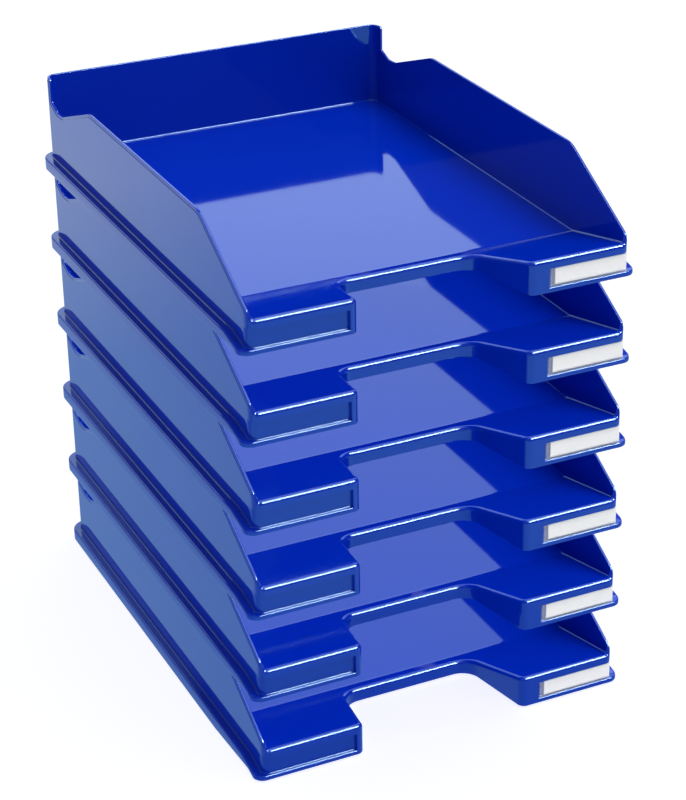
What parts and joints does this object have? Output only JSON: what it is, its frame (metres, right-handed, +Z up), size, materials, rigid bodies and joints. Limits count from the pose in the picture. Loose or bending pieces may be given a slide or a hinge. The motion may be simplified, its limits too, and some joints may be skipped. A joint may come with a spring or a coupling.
{
  "type": "letter tray",
  "caption": "Stack of letter trays with ramped, finger-notched fronts, cut-back side walls and a clear holder with a paper label at the right of each front.",
  "frame": {"origin": "under the middle of the stack, on the surface it stands on", "axes": "+X to the right across the width, +Y from the notched front to the back wall, +Z up"},
  "size_m": [0.255, 0.346, 0.348],
  "materials": {
    "tray": "high-gloss opaque royal blue, moulded",
    "clear_holder": "clear, glossy",
    "label_card": "plain white"
  },
  "bodies": {
    "tray_1": {"tray_1": "tray"},
    "label_holder_1": {"label_holder_1": "clear_holder"},
    "label_1": {"label_1": "label_card"},
    "tray_2": {"tray_2": "tray"},
    "label_holder_2": {"label_holder_2": "clear_holder"},
    "label_2": {"label_2": "label_card"},
    "tray_3": {"tray_3": "tray"},
    "label_holder_3": {"label_holder_3": "clear_holder"},
    "label_3": {"label_3": "label_card"},
    "tray_4": {"tray_4": "tray"},
    "label_holder_4": {"label_holder_4": "clear_holder"},
    "label_4": {"label_4": "label_card"},
    "tray_5": {"tray_5": "tray"},
    "label_holder_5": {"label_holder_5": "clear_holder"},
    "label_5": {"label_5": "label_card"},
    "tray_6": {"tray_6": "tray"},
    "label_holder_6": {"label_holder_6": "clear_holder"},
    "label_6": {"label_6": "label_card"}
  },
  "joints": [
    {"name": "label_holder_1_pull", "type": "slide", "parent": "tray_1", "child": "label_holder_1", "axis": [0, -1, 0], "range_m": [0, 0.012]},
    {"name": "label_1_slide", "type": "slide", "parent": "label_holder_1", "child": "label_1", "axis": [1, 0, 0], "range_m": [0, 0.055]},
    {"name": "tray_2_lift", "type": "slide", "parent": "tray_1", "child": "tray_2", "axis": [0, 0, 1], "range_m": [0, 0.075]},
    {"name": "label_holder_2_pull", "type": "slide", "parent": "tray_2", "child": "label_holder_2", "axis": [0, -1, 0], "range_m": [0, 0.012]},
    {"name": "label_2_slide", "type": "slide", "parent": "label_holder_2", "child": "label_2", "axis": [1, 0, 0], "range_m": [0, 0.055]},
    {"name": "tray_3_lift", "type": "slide", "parent": "tray_2", "child": "tray_3", "axis": [0, 0, 1], "range_m": [0, 0.075]},
    {"name": "label_holder_3_pull", "type": "slide", "parent": "tray_3", "child": "label_holder_3", "axis": [0, -1, 0], "range_m": [0, 0.012]},
    {"name": "label_3_slide", "type": "slide", "parent": "label_holder_3", "child": "label_3", "axis": [1, 0, 0], "range_m": [0, 0.055]},
    {"name": "tray_4_lift", "type": "slide", "parent": "tray_3", "child": "tray_4", "axis": [0, 0, 1], "range_m": [0, 0.075]},
    {"name": "label_holder_4_pull", "type": "slide", "parent": "tray_4", "child": "label_holder_4", "axis": [0, -1, 0], "range_m": [0, 0.012]},
    {"name": "label_4_slide", "type": "slide", "parent": "label_holder_4", "child": "label_4", "axis": [1, 0, 0], "range_m": [0, 0.055]},
    {"name": "tray_5_lift", "type": "slide", "parent": "tray_4", "child": "tray_5", "axis": [0, 0, 1], "range_m": [0, 0.075]},
    {"name": "label_holder_5_pull", "type": "slide", "parent": "tray_5", "child": "label_holder_5", "axis": [0, -1, 0], "range_m": [0, 0.012]},
    {"name": "label_5_slide", "type": "slide", "parent": "label_holder_5", "child": "label_5", "axis": [1, 0, 0], "range_m": [0, 0.055]},
    {"name": "tray_6_lift", "type": "slide", "parent": "tray_5", "child": "tray_6", "axis": [0, 0, 1], "range_m": [0, 0.075]},
    {"name": "label_holder_6_pull", "type": "slide", "parent": "tray_6", "child": "label_holder_6", "axis": [0, -1, 0], "range_m": [0, 0.012]},
    {"name": "label_6_slide", "type": "slide", "parent": "label_holder_6", "child": "label_6", "axis": [1, 0, 0], "range_m": [0, 0.055]}
  ]
}
